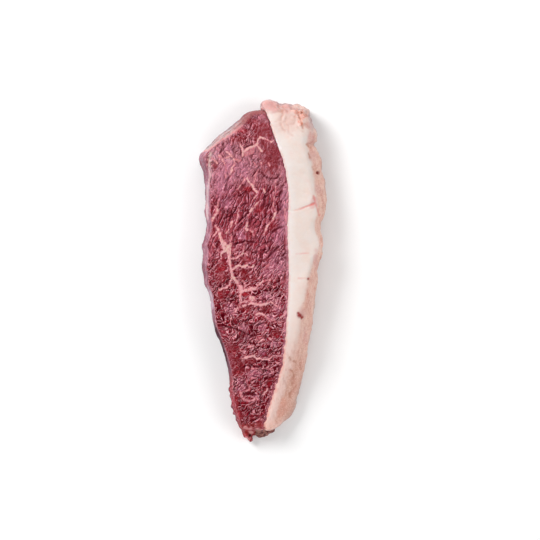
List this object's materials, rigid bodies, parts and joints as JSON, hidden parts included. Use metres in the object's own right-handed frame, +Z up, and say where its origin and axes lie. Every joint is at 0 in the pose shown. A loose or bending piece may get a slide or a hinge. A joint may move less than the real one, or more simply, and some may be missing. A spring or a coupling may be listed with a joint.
{
  "type": "raw picanha steak",
  "caption": "Long tapering slice of raw beef rump cap, lean marbled muscle with a thick fat cap along one long side, lying flat on a cut face.",
  "frame": {"origin": "under the middle of the slice's bounding box, on the surface that it lies on", "axes": "+Z up out of the shown cut face, +Y along the slice to its wide end, +X across it to the fat cap"},
  "size_m": [0.0726, 0.1942, 0.0265],
  "materials": {
    "lean": "moist raw red muscle with pale marbling and a wet sheen",
    "fat": "waxy cream-white raw fat, peach and tan on its outer side"
  },
  "bodies": {
    "root": {"lean": "lean", "fat_cap": "fat"}
  },
  "joints": []
}
